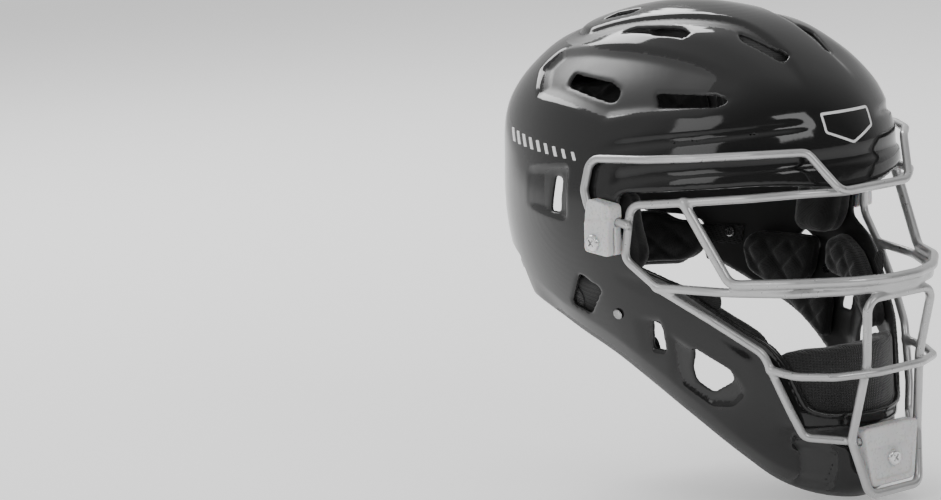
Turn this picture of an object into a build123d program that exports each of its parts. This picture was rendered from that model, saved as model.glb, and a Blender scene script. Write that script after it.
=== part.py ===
from build123d import *
import os
from math import copysign, cos, pi, sin

# Catcher's helmet mask: a one-piece shell with a wire face cage, comfort pads and a sprung back plate.
# Millimetres. The wearer looks along -Y, +Z is up and +X is the wearer's left.
# The origin is the centre of the head, level with the screws of the side clips.

os.makedirs("parts", exist_ok=True)

# ---------------------------------------------------------------- driving dimensions
WALL = 3.5  # shell and back plate
SHELL_HALF_WIDTH = 110.5
SHELL_HALF_DEPTH = 145
SHELL_HALF_HEIGHT = 153
FORM_MIDDLE = (-10, -10)  # depth and height of the point that the form shrinks towards
OUTLINE_STEPS = 28
REACH = 160  # longer than any cut has to be
RIVET_HOLE_DEPTH = 24

# Levels of the shell's outer form: height, half width, front, rear, squareness in front and behind
LEVELS = [
    (-163, 24, -139, -70, 1.9, 2.2),
    (-150, 42, -153, -20, 1.9, 2.2),
    (-125, 62, -157, 30, 1.9, 2.2),
    (-100, 76, -157, 68, 1.9, 2.2),
    (-60, 90, -155, 106, 1.85, 2.2),
    (-20, 102, -152, 125, 1.9, 2.12),
    (20, 110.5, -148, 132, 2.1, 1.96),
    (50, 109, -146, 133, 2.1, 1.92),
    (80, 101, -139, 126, 2.1, 2.07),
    (105, 85, -122, 106, 2.1, 2.15),
    (125, 61, -95, 78, 2.1, 2.2),
    (138, 33, -62, 42, 2.1, 2.2),
    (143, 13, -34, 14, 2.1, 2.2),
]
TAIL = (-182, 12, -124, -96, 1.9, 2.2)  # carries the hollow out through the open bottom

# Openings seen from the side: depth and height
NECK = [(170, -36), (64, -39), (36, -50), (-12, -69), (-41, -88), (-71, -112), (-101, -146), (-119, -155)]
NECK += [(-150, -163.5), (-150, -210), (170, -210)]
FACE_PORT = [(-45, 34), (-44, 8), (-45, -4), (-52, -8), (-71, -16), (-90, -32), (-109, -48), (-121, -57)]
FACE_PORT += [(-128, -70), (-136, -98), (-144, -102), (-200, -105), (-200, 26), (-149, 31), (-138, 39)]
FACE_PORT += [(-124, 41), (-97, 40), (-50, 37)]
REAR_NOTCH = [(64, -60), (66, -42), (70, -26), (73, -15), (86, -11), (102, -9), (112, 0), (119, 20), (126, 27)]
REAR_NOTCH += [(200, 28), (200, -80), (64, -80)]
EAR_SLOT = [(17, 22), (12, 44), (4.5, 43), (7.5, 22)]
EAR_OPENING = [(-2, -17), (-19, -26), (-3, -43), (14, -38)]
JAW_SLOT = [(-52, -44), (-59, -48), (-58, -63), (-48, -62)]
JAW_VENT = [(-77, -60), (-98, -74), (-97, -81), (-83, -89), (-73, -82), (-72, -74)]
UPPER_VENT = [(19, 97), (21, 104), (-18, 101), (-29, 97), (-30, 91), (-24, 90)]
BROW_VENT = [(-55, 96), (-94, 95), (-101, 92), (-97, 89), (-61, 88)]
SIDE_OPENINGS = [NECK, FACE_PORT, REAR_NOTCH, EAR_SLOT, EAR_OPENING]
SIDE_OPENINGS += [JAW_SLOT, JAW_VENT, UPPER_VENT, BROW_VENT]
# Openings seen from above: across and depth
CROWN_VENT = [(-52, 2), (-45, -4), (-40, -41), (-44, -51), (-50, -51), (-53, -30)]
FRONT_VENT = [(-25, -73), (-30, -82), (-22, -106), (-15, -108)]
REAR_VENT = [(-36, 34), (-31, 16), (-22, 14), (-25, 32)]
TOP_OPENINGS = [CROWN_VENT, FRONT_VENT, REAR_VENT]

# Back plate, which lies inside the shell's rear edge, and the elastic straps that hold it
PLATE_INSET = 5.8
BACK_PLATE = [(71, -18), (84, -12.8), (100, -10.6), (109, -7), (200, -7), (200, -42), (76, -42), (71, -36)]
STRAP_THICKNESS = 1.6
STRAP_INSET = 4.0  # between the shell's inner face and the plate's outer face
SIDE_STRAP = [(44, -29), (44, -17), (94, -17), (94, -29)]
TOP_STRAP_INNER = 18
TOP_STRAP_OUTER = 34
TOP_STRAP_LOW = -26
TOP_STRAP_HIGH = 48

# Cage wire
BAR = 2.65
HEAVY_BAR = 3.2
CHIN_BAR = 2.85
GROOVE_CLEARANCE = 0.25

# Fasteners
CLEARANCE = 0.1
SCREW_SHANK = 2.4
SCREW_HEAD = 5.2
SCREW_HEAD_HEIGHT = 2.6
SCREW_HEAD_ROUND = 1.8
SLOT_LENGTH = 5.4
SLOT_WIDTH = 1.1
SLOT_DEPTH = 1.5
SCREW_PAST_NUT = 1
NUT_FLANGE = 7
NUT_FLANGE_HEIGHT = 1.4
NUT_BARREL = 3.9
NUT_BARREL_SHORT = 0.4  # the barrel stops this far past the wall's thickness
NUT_STAND_OFF = 2.0  # the nut's flat flange inside the curved wall
RIVET_SHANK = 1.9
RIVET_HEAD = 3.4
RIVET_HEAD_HEIGHT = 1.1
RIVET_HEAD_ROUND = 0.9
RIVET_FLANGE_HEIGHT = 0.8
RIVET_LIFT = 0.45  # from the curved skin to the flat underside of a rivet's head
STUD_SKIN = 1.2  # left outside the blind hole of a strap's stud
STUD_SHANK_END = 1.5
SIDE_SCREW = (-34, 7.3)  # depth and height
SIDE_WALL_AT_SCREW = 107.2  # the shell's half width there
CHIN_SCREW_HEIGHT = -132
CHIN_WALL_AT_SCREW = -156.4  # depth of the shell's front there
# Where the rivets and studs meet the outer form on the wearer's left, and their directions
JAW_RIVET = ((95.6, -29, -41), (0.96, -0.08, -0.28))
SIDE_STRAP_STUD = ((90.0, 54, -23), (0.898, 0.333, -0.289))
SIDE_STRAP_RIVET = ((72.9, 86, -23), (0.774, 0.567, -0.283))
TOP_STRAP_STUD = ((26, 128.5, 38), (0.313, 0.95, -0.006))
TOP_STRAP_RIVET = ((26, 122.0, -18), (0.272, 0.926, -0.261))

# Pads: how far they stand off the wall, and how thick they are
PAD_GAP = 1.2
PLATE_PAD_GAP = 2.6  # clear of the flanges of the plate's rivets
THIN_PAD = 13
PAD = 17
THICK_PAD = 24
NUT_POCKET = 1  # room round a nut's flange in the temple pad
NUT_POCKET_DEPTH = 3.4
HOOK_DISC = 9  # radius of the hook-and-loop discs behind the pads
# Pads on each side, seen from the side: name, thickness, outline
SIDE_PADS = [
    ("temple_pad", THICK_PAD, [(-45, 36), (-45, -6), (-38, -15), (-14, -15), (-8, -10), (-8, 36)]),
    ("cheek_pad", PAD, [(-36, -18), (-50, -15), (-70, -23), (-90, -38), (-107, -52), (-111, -60),
                        (-106, -66), (-98, -64), (-80, -54), (-62, -41), (-46, -40), (-38, -36)]),
    ("ear_pad", PAD, [(-22, -19), (30, -19), (35, -28), (28, -43), (8, -51), (-14, -51), (-22, -44)]),
    ("jaw_pad", THIN_PAD, [(-30, -53), (-44, -55), (-45, -83), (-12, -65), (0, -57), (-12, -55)]),
    ("upper_side_pad", PAD, [(-54, 50), (54, 50), (56, 66), (46, 84), (-44, 84), (-54, 72)]),
]
# Pads that cross the middle plane, seen from the side
MIDDLE_PADS = [
    ("forehead_pad", PAD, [(-62, 46), (-180, 46), (-180, 82), (-62, 82)]),
    ("rear_pad", PAD, [(64, 52), (180, 52), (180, 84), (64, 84)]),
    ("chin_pad", THICK_PAD, [(-118, -64), (-170, -60), (-170, -98), (-130, -98), (-124, -84)]),
]
PLATE_PAD = [(60, -20), (66, -14), (180, -14), (180, -38), (66, -38), (60, -32)]
# The crown's pad, seen from above
CROWN_PAD = [(-30, -62), (30, -62), (34, -10), (18, 8), (18, 60), (-18, 60), (-18, 8), (-34, -10)]
CROWN_PAD_BASE = 60
# Discs behind the pads: place on the wearer's left and direction
DISCS = [
    ((0, -25, 26), (1, 0, 0)),
    ((0, -58, -30), (1, -0.4, 0)),
    ((0, 14, -34), (1, 0, 0)),
    ((0, -30, 66), (1, 0, 0)),
    ((0, 30, 66), (1, 0, 0)),
    ((30, 0, 64), (0.25, -1, 0)),
    ((28, 0, 68), (0.2, 1, 0)),
]

SIDES = [("left", 1), ("right", -1)]


# ---------------------------------------------------------------- shared shapes
def level_outline(half_width, front, rear, front_power, rear_power):
    """Points round one level of the form, a superellipse that is sharper in front than behind."""
    middle = (front + rear) / 2
    half_depth = (rear - front) / 2
    points = []
    for step in range(OUTLINE_STEPS):
        angle = pi / 2 + 2 * pi * step / OUTLINE_STEPS
        across = cos(angle)
        along = sin(angle)
        power = 2 / (rear_power if along > 0 else front_power)
        x = copysign(abs(across) ** power, across) * half_width
        y = copysign(abs(along) ** power, along) * half_depth + middle
        points.append((x, y))
    return points


def form(shrink, levels=LEVELS):
    """Closed solid of the helmet's outer form, drawn in all round by shrink."""
    across = 1 - shrink / SHELL_HALF_WIDTH
    along = 1 - shrink / SHELL_HALF_DEPTH
    tall = 1 - shrink / SHELL_HALF_HEIGHT
    middle_depth, middle_height = FORM_MIDDLE
    with BuildPart() as solid:
        for height, half_width, front, rear, *powers in levels:
            with BuildSketch(Plane.XY.offset(middle_height + (height - middle_height) * tall)):
                with BuildLine():
                    near = middle_depth + (front - middle_depth) * along
                    far = middle_depth + (rear - middle_depth) * along
                    Spline(*level_outline(half_width * across, near, far, *powers), periodic=True)
                make_face()
        loft()
    return solid.part


def lining(outer_shrink, thickness):
    """Closed layer of the given thickness inside the form."""
    with BuildPart() as layer:
        add(form(outer_shrink, [TAIL] + LEVELS))
        add(form(outer_shrink + thickness, [TAIL] + LEVELS), mode=Mode.SUBTRACT)
    return layer.part


def prism(plane, outline, amount, both=False):
    """Straight solid of a closed outline."""
    with BuildPart() as block:
        with BuildSketch(plane):
            with BuildLine():
                Polyline(*outline, close=True)
            make_face()
        extrude(amount=amount, both=both)
    return block.part


def mirrored(points):
    """The same points on the other side of the middle plane, in reverse order."""
    return [(-x, y, z, bend) for x, y, z, bend in reversed(points)]


def wire(corners, radius, closed=False):
    """Round bar through corners of (x, y, z, bend radius)."""
    points = [(x, y, z) for x, y, z, bend in corners]
    bends = [bend for x, y, z, bend in corners]
    if not closed:
        bends = bends[1:-1]
    with BuildPart() as rod:
        with BuildLine() as path:
            FilletPolyline(*points, radius=bends, close=closed)
        with BuildSketch(Plane(origin=path.line @ 0, z_dir=path.line % 0)):
            Circle(radius)
        sweep()
    return rod.part


def skin_plane(place, side):
    """Plane on the skin at a place given for the wearer's left, its normal out of the skin."""
    (x, y, z), (across, along, tall) = place
    return Plane(origin=(side * x, y, z), z_dir=(side * across, along, tall))


def depth_at(place, shrink):
    """Depth under the skin at a place, along its normal, of the form drawn in by shrink."""
    (x, y, z), (across, along, tall) = place
    share = across * x / SHELL_HALF_WIDTH
    share += along * (y - FORM_MIDDLE[0]) / SHELL_HALF_DEPTH
    share += tall * (z - FORM_MIDDLE[1]) / SHELL_HALF_HEIGHT
    return share * shrink


def export(part, name):
    """Label a finished piece and write its file."""
    part.label = name
    export_step(part, f"parts/{name}.step")


# ---------------------------------------------------------------- shell
outer_form = form(0)
inner_form = form(WALL, [TAIL] + LEVELS)
pad_layers = {thickness: lining(WALL + PAD_GAP, thickness) for thickness in (THIN_PAD, PAD, THICK_PAD)}

with BuildPart() as shell:
    add(outer_form)
    add(inner_form, mode=Mode.SUBTRACT)
    for opening in SIDE_OPENINGS:
        add(prism(Plane.YZ, opening, REACH, both=True), mode=Mode.SUBTRACT)
    for opening in TOP_OPENINGS:
        for side in (1, -1):
            outline = [(-side * x, y) for x, y in opening]
            add(prism(Plane.XY, outline, REACH), mode=Mode.SUBTRACT)
    with Locations(Location((0, SIDE_SCREW[0], SIDE_SCREW[1]), (0, 90, 0))):
        Cylinder(NUT_BARREL + CLEARANCE, 2 * REACH, mode=Mode.SUBTRACT)
    with Locations(Location((0, CHIN_WALL_AT_SCREW, CHIN_SCREW_HEIGHT), (90, 0, 0))):
        Cylinder(NUT_BARREL + CLEARANCE, RIVET_HOLE_DEPTH, mode=Mode.SUBTRACT)
    for side in (1, -1):
        with Locations(skin_plane(JAW_RIVET, side)):
            Cylinder(RIVET_SHANK + CLEARANCE, RIVET_HOLE_DEPTH, mode=Mode.SUBTRACT)
        for place in (SIDE_STRAP_STUD, TOP_STRAP_STUD):
            with Locations(skin_plane(place, side).offset(-STUD_SKIN)):
                Cylinder(
                    RIVET_SHANK + CLEARANCE,
                    RIVET_HOLE_DEPTH,
                    align=(Align.CENTER, Align.CENTER, Align.MAX),
                    mode=Mode.SUBTRACT,
                )
export(shell.part, "shell")

# ---------------------------------------------------------------- back plate and its straps
with BuildPart() as back_plate:
    add(lining(PLATE_INSET, WALL))
    add(prism(Plane.YZ, BACK_PLATE, REACH, both=True), mode=Mode.INTERSECT)
    for side in (1, -1):
        for place in (SIDE_STRAP_RIVET, TOP_STRAP_RIVET):
            with Locations(skin_plane(place, side)):
                Cylinder(RIVET_SHANK + CLEARANCE, 2 * RIVET_HOLE_DEPTH, mode=Mode.SUBTRACT)
export(back_plate.part, "back_plate")

strap_layer = lining(STRAP_INSET, STRAP_THICKNESS)
for side_name, side in SIDES:
    with BuildPart() as side_strap:
        add(strap_layer)
        add(prism(Plane.YZ, SIDE_STRAP, side * REACH), mode=Mode.INTERSECT)
        for place in (SIDE_STRAP_STUD, SIDE_STRAP_RIVET):
            with Locations(skin_plane(place, side)):
                Cylinder(RIVET_SHANK + CLEARANCE, RIVET_HOLE_DEPTH, mode=Mode.SUBTRACT)
    export(side_strap.part, f"side_strap_{side_name}")

    top_outline = [
        (side * TOP_STRAP_INNER, TOP_STRAP_LOW),
        (side * TOP_STRAP_OUTER, TOP_STRAP_LOW),
        (side * TOP_STRAP_OUTER, TOP_STRAP_HIGH),
        (side * TOP_STRAP_INNER, TOP_STRAP_HIGH),
    ]
    with BuildPart() as top_strap:
        add(strap_layer)
        add(prism(Plane.XZ, top_outline, -REACH), mode=Mode.INTERSECT)
        for place in (TOP_STRAP_STUD, TOP_STRAP_RIVET):
            with Locations(skin_plane(place, side)):
                Cylinder(RIVET_SHANK + CLEARANCE, RIVET_HOLE_DEPTH, mode=Mode.SUBTRACT)
    export(top_strap.part, f"top_strap_{side_name}")

# ---------------------------------------------------------------- cage
BROW_SIDE = [
    (108.5, -54.3, 18.2, 0),
    (111.9, -39, 22.3, 40),
    (113.9, -26.2, 26.6, 6),
    (113.7, -22.4, 38.6, 10),
    (110.5, -26, 58, 9),
    (104, -66, 59, 40),
    (91, -94, 60, 40),
    (67, -125, 61, 40),
    (43, -145.5, 61, 7),
    (30, -160.8, 36.5, 9),
]
FRAME_SIDE = [
    (22, -156, 35, 20),
    (48, -144, 36, 40),
    (72, -123, 35, 40),
    (94, -89, 33, 40),
    (104, -53, 30, 8),
    (107, -49, -3, 9),
    (99, -68, -20.5, 20),
    (81.5, -96, -41, 40),
    (63.5, -121.5, -62, 14),
    (53.5, -133, -98, 30),
    (47, -137.5, -115, 7),
    (24, -160.5, -119, 12),
]
EYE_SIDE = [
    (94, -89, 33, 0),
    (84, -116.5, -17, 9),
    (62, -150, -16.5, 40),
    (34, -174, -17, 40),
    (12, -181.5, -17.5, 25),
]
CHEEK_SIDE = [
    (99, -68, -20.5, 0),
    (84, -112, -22, 60),
    (62, -146, -23, 40),
    (34, -171, -23, 40),
    (12, -179, -22.9, 25),
]
CHIN_SIDE = [
    (29, -178, -28.3, 8),
    (23.5, -170, -70, 30),
    (29.5, -160.5, -117.5, 14),
    (22, -167, -152, 7),
]
MOUTH_SIDE = [
    (61, -124.5, -72, 0),
    (58, -143, -75, 20),
    (44, -163, -75.5, 14),
    (20, -175, -75, 25),
]
for name, side_corners, radius, closed in (
    ("cage_brow_bar", BROW_SIDE, BAR, False),
    ("cage_frame_bar", FRAME_SIDE, BAR, True),
    ("cage_eye_bar", EYE_SIDE, HEAVY_BAR, False),
    ("cage_cheek_bar", CHEEK_SIDE, CHIN_BAR, False),
    ("cage_chin_bar", CHIN_SIDE, CHIN_BAR, True),
    ("cage_mouth_bar", MOUTH_SIDE, BAR, False),
):
    with BuildPart() as cage_bar:
        add(wire(side_corners + mirrored(side_corners), radius, closed))
    export(cage_bar.part, name)

# ---------------------------------------------------------------- clips that hold the cage
SIDE_CLIP = [(-29, 34.3), (-48.4, 31), (-48.4, 21.5), (-46.4, 15), (-46.4, -1), (-25, 1.2), (-26, 24)]
SIDE_CLIP_FACE = 118.6  # distance of the clip's outer face from the middle plane
SIDE_CLIP_BACK = 100
SIDE_CLIP_CORNER = 3
SIDE_CLIP_BEVEL = 1.2
CHIN_CLIP = [(24, -111), (19, -148), (-19, -148), (-24, -111)]
CHIN_CLIP_BACK = -157.6
CHIN_CLIP_DEPTH = 9.5
CHIN_CLIP_CORNER = 4
CHIN_CLIP_BEVEL = 1.5
CLIP_GAP = 0.3  # between a clip and the shell under it

clearance_form = form(-CLIP_GAP)
for side_name, side in SIDES:
    groove_corners = [(side * x, y, z, bend) for x, y, z, bend in BROW_SIDE[:5]]
    with BuildPart() as side_clip:
        with BuildSketch(Plane.YZ.offset(side * SIDE_CLIP_BACK)):
            with BuildLine():
                FilletPolyline(*SIDE_CLIP, radius=SIDE_CLIP_CORNER, close=True)
            make_face()
        extrude(amount=side * (SIDE_CLIP_FACE - SIDE_CLIP_BACK))
        chamfer(side_clip.faces().sort_by(Axis.X)[-1 if side > 0 else 0].edges(), SIDE_CLIP_BEVEL)
        add(clearance_form, mode=Mode.SUBTRACT)
        add(wire(groove_corners, BAR + GROOVE_CLEARANCE), mode=Mode.SUBTRACT)
        with Locations(Location((0, SIDE_SCREW[0], SIDE_SCREW[1]), (0, 90, 0))):
            Cylinder(SCREW_SHANK + CLEARANCE, 2 * REACH, mode=Mode.SUBTRACT)
    export(side_clip.part, f"side_clip_{side_name}")

frame_groove = [(30, -154.6, -118, 0), FRAME_SIDE[-1]]
with BuildPart() as chin_clip:
    with BuildSketch(Plane.XZ.offset(-CHIN_CLIP_BACK)):
        with BuildLine():
            FilletPolyline(*CHIN_CLIP, radius=CHIN_CLIP_CORNER, close=True)
        make_face()
    extrude(amount=CHIN_CLIP_DEPTH)
    chamfer(chin_clip.faces().sort_by(Axis.Y)[0].edges(), CHIN_CLIP_BEVEL)
    add(wire(frame_groove + mirrored(frame_groove), BAR + GROOVE_CLEARANCE), mode=Mode.SUBTRACT)
    with Locations(Location((0, -REACH, CHIN_SCREW_HEIGHT), (90, 0, 0))):
        Cylinder(SCREW_SHANK + CLEARANCE, REACH, mode=Mode.SUBTRACT)
export(chin_clip.part, "chin_clip")


# ---------------------------------------------------------------- screws, nuts and rivets
def screw(plane, length):
    """Round-headed screw with a cross slot: the plane lies under the head, its normal out of the head."""
    with BuildPart(plane) as piece:
        Cylinder(SCREW_HEAD, SCREW_HEAD_HEIGHT, align=(Align.CENTER, Align.CENTER, Align.MIN))
        fillet(piece.faces().sort_by(Axis(plane.origin, plane.z_dir))[-1].edges(), SCREW_HEAD_ROUND)
        Cylinder(SCREW_SHANK, length, align=(Align.CENTER, Align.CENTER, Align.MAX))
        with BuildSketch(plane.offset(SCREW_HEAD_HEIGHT)):
            Rectangle(SLOT_LENGTH, SLOT_WIDTH)
            Rectangle(SLOT_WIDTH, SLOT_LENGTH)
        extrude(amount=-SLOT_DEPTH, mode=Mode.SUBTRACT)
    return piece.part


def tee_nut(plane):
    """Flanged nut: the plane lies on the flange towards the wall, its normal out through the wall."""
    with BuildPart(plane) as piece:
        Cylinder(NUT_FLANGE, NUT_FLANGE_HEIGHT, align=(Align.CENTER, Align.CENTER, Align.MAX))
        Cylinder(NUT_BARREL, WALL + NUT_BARREL_SHORT, align=(Align.CENTER, Align.CENTER, Align.MIN))
        Cylinder(SCREW_SHANK + CLEARANCE / 2, 4 * WALL, mode=Mode.SUBTRACT)
    return piece.part


def rivet(plane, grip):
    """Domed rivet: the plane lies under the dome, its normal out of the dome; grip is what it clamps."""
    with BuildPart(plane) as piece:
        Cylinder(RIVET_HEAD, RIVET_HEAD_HEIGHT, align=(Align.CENTER, Align.CENTER, Align.MIN))
        fillet(piece.faces().sort_by(Axis(plane.origin, plane.z_dir))[-1].edges(), RIVET_HEAD_ROUND)
        Cylinder(RIVET_SHANK, grip, align=(Align.CENTER, Align.CENTER, Align.MAX))
        with Locations((0, 0, -grip)):
            Cylinder(RIVET_HEAD, RIVET_FLANGE_HEIGHT, align=(Align.CENTER, Align.CENTER, Align.MAX))
    return piece.part


side_screw_planes = {}
side_nut_planes = {}
for side_name, side in SIDES:
    face = (side * SIDE_CLIP_FACE, *SIDE_SCREW)
    wall = (side * (SIDE_WALL_AT_SCREW - WALL - NUT_STAND_OFF), *SIDE_SCREW)
    side_screw_planes[side_name] = Plane(origin=face, x_dir=(0, 1, 1), z_dir=(side, 0, 0))
    side_nut_planes[side_name] = Plane(origin=wall, x_dir=(0, 1, 0), z_dir=(side, 0, 0))
chin_screw_plane = Plane(
    origin=(0, CHIN_CLIP_BACK - CHIN_CLIP_DEPTH, CHIN_SCREW_HEIGHT), x_dir=(1, 0, 1), z_dir=(0, -1, 0)
)
chin_nut_plane = Plane(
    origin=(0, CHIN_WALL_AT_SCREW + WALL + NUT_STAND_OFF, CHIN_SCREW_HEIGHT),
    x_dir=(1, 0, 0),
    z_dir=(0, -1, 0),
)
NUT_GRIP = WALL + NUT_STAND_OFF + NUT_FLANGE_HEIGHT + SCREW_PAST_NUT
SIDE_SCREW_LENGTH = SIDE_CLIP_FACE - SIDE_WALL_AT_SCREW + NUT_GRIP
CHIN_SCREW_LENGTH = CHIN_WALL_AT_SCREW - CHIN_CLIP_BACK + CHIN_CLIP_DEPTH + NUT_GRIP

with BuildPart() as clip_screws:
    for plane in side_screw_planes.values():
        add(screw(plane, SIDE_SCREW_LENGTH))
    add(screw(chin_screw_plane, CHIN_SCREW_LENGTH))
export(clip_screws.part, "clip_screws")

with BuildPart() as clip_nuts:
    for plane in (*side_nut_planes.values(), chin_nut_plane):
        add(tee_nut(plane))
export(clip_nuts.part, "clip_nuts")

def stud(plane, length):
    """Domed stud: the plane lies under the dome, its normal out of the dome."""
    with BuildPart(plane) as piece:
        Cylinder(RIVET_HEAD, RIVET_HEAD_HEIGHT, align=(Align.CENTER, Align.CENTER, Align.MIN))
        fillet(piece.faces().sort_by(Axis(plane.origin, plane.z_dir))[-1].edges(), RIVET_HEAD_ROUND)
        Cylinder(RIVET_SHANK, length, align=(Align.CENTER, Align.CENTER, Align.MAX))
    return piece.part


with BuildPart() as jaw_rivets:
    for side in (1, -1):
        add(rivet(skin_plane(JAW_RIVET, side).offset(RIVET_LIFT), WALL + 2 * RIVET_LIFT))
export(jaw_rivets.part, "jaw_rivets")

with BuildPart() as plate_strap_rivets:
    for place in (SIDE_STRAP_RIVET, TOP_STRAP_RIVET):
        for side in (1, -1):
            head_depth = depth_at(place, STRAP_INSET) - RIVET_LIFT
            flange_depth = depth_at(place, PLATE_INSET + WALL) + RIVET_LIFT
            add(rivet(skin_plane(place, side).offset(-head_depth), flange_depth - head_depth))
export(plate_strap_rivets.part, "plate_strap_rivets")

with BuildPart() as shell_strap_studs:
    for place in (SIDE_STRAP_STUD, TOP_STRAP_STUD):
        for side in (1, -1):
            head_depth = depth_at(place, STRAP_INSET + STRAP_THICKNESS) + RIVET_LIFT
            outward = skin_plane(place, side).offset(-head_depth)
            head_plane = Plane(origin=outward.origin, x_dir=outward.x_dir, z_dir=-outward.z_dir)
            add(stud(head_plane, head_depth - STUD_SHANK_END))
export(shell_strap_studs.part, "shell_strap_studs")

# ---------------------------------------------------------------- pads
for side_name, side in SIDES:
    for name, thickness, outline in SIDE_PADS:
        with BuildPart() as side_pad:
            add(pad_layers[thickness])
            add(prism(Plane.YZ, outline, side * REACH), mode=Mode.INTERSECT)
            if name == "temple_pad":
                with Locations(side_nut_planes[side_name]):
                    Cylinder(NUT_FLANGE + NUT_POCKET, 2 * NUT_POCKET_DEPTH, mode=Mode.SUBTRACT)
        export(side_pad.part, f"{name}_{side_name}")

for name, thickness, outline in MIDDLE_PADS:
    with BuildPart() as middle_pad:
        add(pad_layers[thickness])
        add(prism(Plane.YZ, outline, REACH, both=True), mode=Mode.INTERSECT)
    export(middle_pad.part, name)

with BuildPart() as crown_pad:
    add(pad_layers[PAD])
    add(prism(Plane.XY.offset(CROWN_PAD_BASE), CROWN_PAD, REACH), mode=Mode.INTERSECT)
export(crown_pad.part, "crown_pad")

with BuildPart() as back_plate_pad:
    add(lining(PLATE_INSET + WALL + PLATE_PAD_GAP, THIN_PAD))
    add(prism(Plane.YZ, PLATE_PAD, REACH, both=True), mode=Mode.INTERSECT)
export(back_plate_pad.part, "back_plate_pad")

disc_layer = lining(WALL + CLEARANCE, PAD_GAP - 2 * CLEARANCE)
with BuildPart() as hook_discs:
    for place in DISCS:
        for side in (1, -1):
            with Locations(skin_plane(place, side)):
                Cylinder(HOOK_DISC, REACH, align=(Align.CENTER, Align.CENTER, Align.MIN))
    add(disc_layer, mode=Mode.INTERSECT)
export(hook_discs.part, "hook_discs")
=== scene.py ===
import math

import bpy
import numpy as np
from mathutils import Matrix, Vector


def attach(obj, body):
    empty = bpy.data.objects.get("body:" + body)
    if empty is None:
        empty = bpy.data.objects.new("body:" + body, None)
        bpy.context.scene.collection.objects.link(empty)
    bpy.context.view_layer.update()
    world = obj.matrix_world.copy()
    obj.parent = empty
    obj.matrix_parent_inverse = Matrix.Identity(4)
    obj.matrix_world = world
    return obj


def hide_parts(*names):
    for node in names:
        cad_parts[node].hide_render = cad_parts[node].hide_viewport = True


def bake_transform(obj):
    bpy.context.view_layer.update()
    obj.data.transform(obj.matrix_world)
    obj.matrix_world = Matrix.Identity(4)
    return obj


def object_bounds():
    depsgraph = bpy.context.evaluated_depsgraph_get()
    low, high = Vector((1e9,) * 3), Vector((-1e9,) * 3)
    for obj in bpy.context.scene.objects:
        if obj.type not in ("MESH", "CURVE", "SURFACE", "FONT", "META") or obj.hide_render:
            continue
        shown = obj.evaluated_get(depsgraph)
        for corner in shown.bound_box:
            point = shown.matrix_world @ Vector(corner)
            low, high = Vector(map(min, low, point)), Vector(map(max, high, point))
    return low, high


# A catcher's helmet mask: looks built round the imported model.
# Sizes here are millimetres, like the model's own; meshes are made in metres.

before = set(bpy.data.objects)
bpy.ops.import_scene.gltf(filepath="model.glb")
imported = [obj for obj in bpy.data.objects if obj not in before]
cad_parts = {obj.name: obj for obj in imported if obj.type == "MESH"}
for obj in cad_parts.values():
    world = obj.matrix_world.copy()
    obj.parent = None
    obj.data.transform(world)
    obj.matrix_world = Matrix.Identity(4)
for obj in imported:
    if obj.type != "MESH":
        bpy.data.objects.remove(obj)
cad_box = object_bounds()
MM = 0.001


# ---------------------------------------------------------------- shared
class Nodes:
    """A material's node tree, with short calls for what the materials here share."""

    def __init__(self, name):
        self.material = bpy.data.materials.new(name)
        self.material.use_nodes = True
        self.tree = self.material.node_tree
        self.shader = self.tree.nodes["Principled BSDF"]
        self.place = self.node("ShaderNodeTexCoord").outputs["Object"]

    def node(self, kind, **settings):
        made = self.tree.nodes.new(kind)
        for key, value in settings.items():
            setattr(made, key, value)
        return made

    def link(self, source, target):
        self.tree.links.new(source, target)

    def set(self, **values):
        for key, value in values.items():
            self.shader.inputs[key.replace("_", " ")].default_value = value

    def noise(self, scale, detail=3, roughness=0.5):
        made = self.node("ShaderNodeTexNoise")
        for name, value in (("Scale", scale), ("Detail", detail), ("Roughness", roughness)):
            made.inputs[name].default_value = value
        self.link(self.place, made.inputs["Vector"])
        return made.outputs["Fac"]

    def range(self, source, low, high, from_low=0.3, from_high=0.7):
        made = self.node("ShaderNodeMapRange")
        limits = {"From Min": from_low, "From Max": from_high, "To Min": low, "To Max": high}
        for name, value in limits.items():
            made.inputs[name].default_value = value
        self.link(source, made.inputs["Value"])
        return made.outputs["Result"]

    def maths(self, operation, first, second):
        made = self.node("ShaderNodeMath", operation=operation)
        for socket, value in zip(made.inputs, (first, second)):
            if isinstance(value, (int, float)):
                socket.default_value = value
            else:
                self.link(value, socket)
        return made.outputs["Value"]

    def mix(self, factor, first, second):
        """Colour that goes from first to second; each is a grey, an RGB or a socket."""
        made = self.node("ShaderNodeMix", data_type="RGBA")
        for socket, value in ((made.inputs[0], factor), (made.inputs[6], first), (made.inputs[7], second)):
            if hasattr(value, "links"):
                self.link(value, socket)
            elif socket == made.inputs[0]:
                socket.default_value = value
            else:
                socket.default_value = (*value, 1)
        return made.outputs[2]

    def bump(self, height, strength, distance):
        """Bump over any bump already on the shader; distance in metres."""
        made = self.node("ShaderNodeBump")
        made.inputs["Strength"].default_value = strength
        made.inputs["Distance"].default_value = distance
        self.link(height, made.inputs["Height"])
        normal = self.shader.inputs["Normal"]
        if normal.links:
            self.link(normal.links[0].from_socket, made.inputs["Normal"])
        self.link(made.outputs["Normal"], normal)


def grey(value):
    return (value, value, value)


# ---------------------------------------------------------------- camera, floor and light
LENS = 164.927
SENSOR = 36
CAMERA_DISTANCE = 2750
CAMERA_SIDE = math.radians(-41.3)  # turned towards the wearer's right
CAMERA_HEIGHT = math.radians(9)
CAMERA_ROLL = math.radians(-3)
AIM_RIGHT = 141.6  # how far the model's origin stands right of the image's middle
AIM_UP = 16.9
CAMERA_REACH = 50  # metres
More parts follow.
